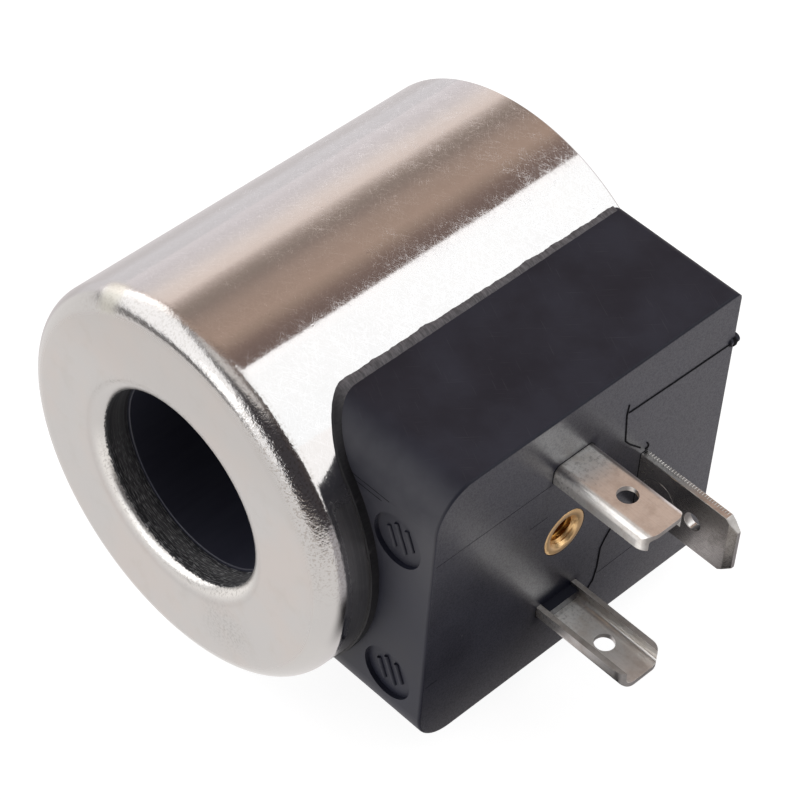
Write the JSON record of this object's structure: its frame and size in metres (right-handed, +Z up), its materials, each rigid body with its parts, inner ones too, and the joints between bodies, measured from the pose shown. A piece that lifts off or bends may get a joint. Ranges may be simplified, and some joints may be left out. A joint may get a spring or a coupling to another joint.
{
  "type": "solenoid coil",
  "caption": "Round solenoid coil in a bright steel can with an open bore, and a black moulded connector block on its side with blade contacts round a screw insert.",
  "frame": {"origin": "on the bore's axis, in the plane of the can's front face", "axes": "+Y runs along the bore from the front face to the rear, +X points out of the connector face along the contacts, +Z is up with the coil lying on its side"},
  "size_m": [0.0534, 0.0407, 0.037],
  "materials": {
    "plated_steel": "bright plated, lightly scuffed",
    "flux_steel": "turned and plated, satin",
    "bobbin_plastic": "moulded, satin",
    "copper_wire": "enamelled copper, glossy",
    "tape": "polyester tape",
    "strip_paper": "insulating paper",
    "sleeve": "woven insulating sleeve",
    "solder": "solder, dull bright",
    "tinned_contact": "plated brass, satin with drawing marks",
    "tinned_blade": "plated brass, satin with a sheared edge",
    "strap_steel": "plated steel strip",
    "brass": "turned brass",
    "black_moulding": "fine matte moulding with a thin flash"
  },
  "bodies": {
    "root": {"steel_can": "plated_steel", "rear_flux_plate": "flux_steel", "bobbin": "bobbin_plastic", "winding": "copper_wire", "winding_wrap": "tape", "start_strip": "strip_paper", "start_lead": "copper_wire", "finish_lead": "copper_wire", "lead_sleeves": "sleeve", "solder_joints": "solder", "upper_line_pin": "tinned_contact", "lower_line_pin": "tinned_contact", "earth_blade": "tinned_blade", "earth_strap": "strap_steel", "threaded_insert": "brass", "moulded_block": "black_moulding"}
  },
  "joints": []
}
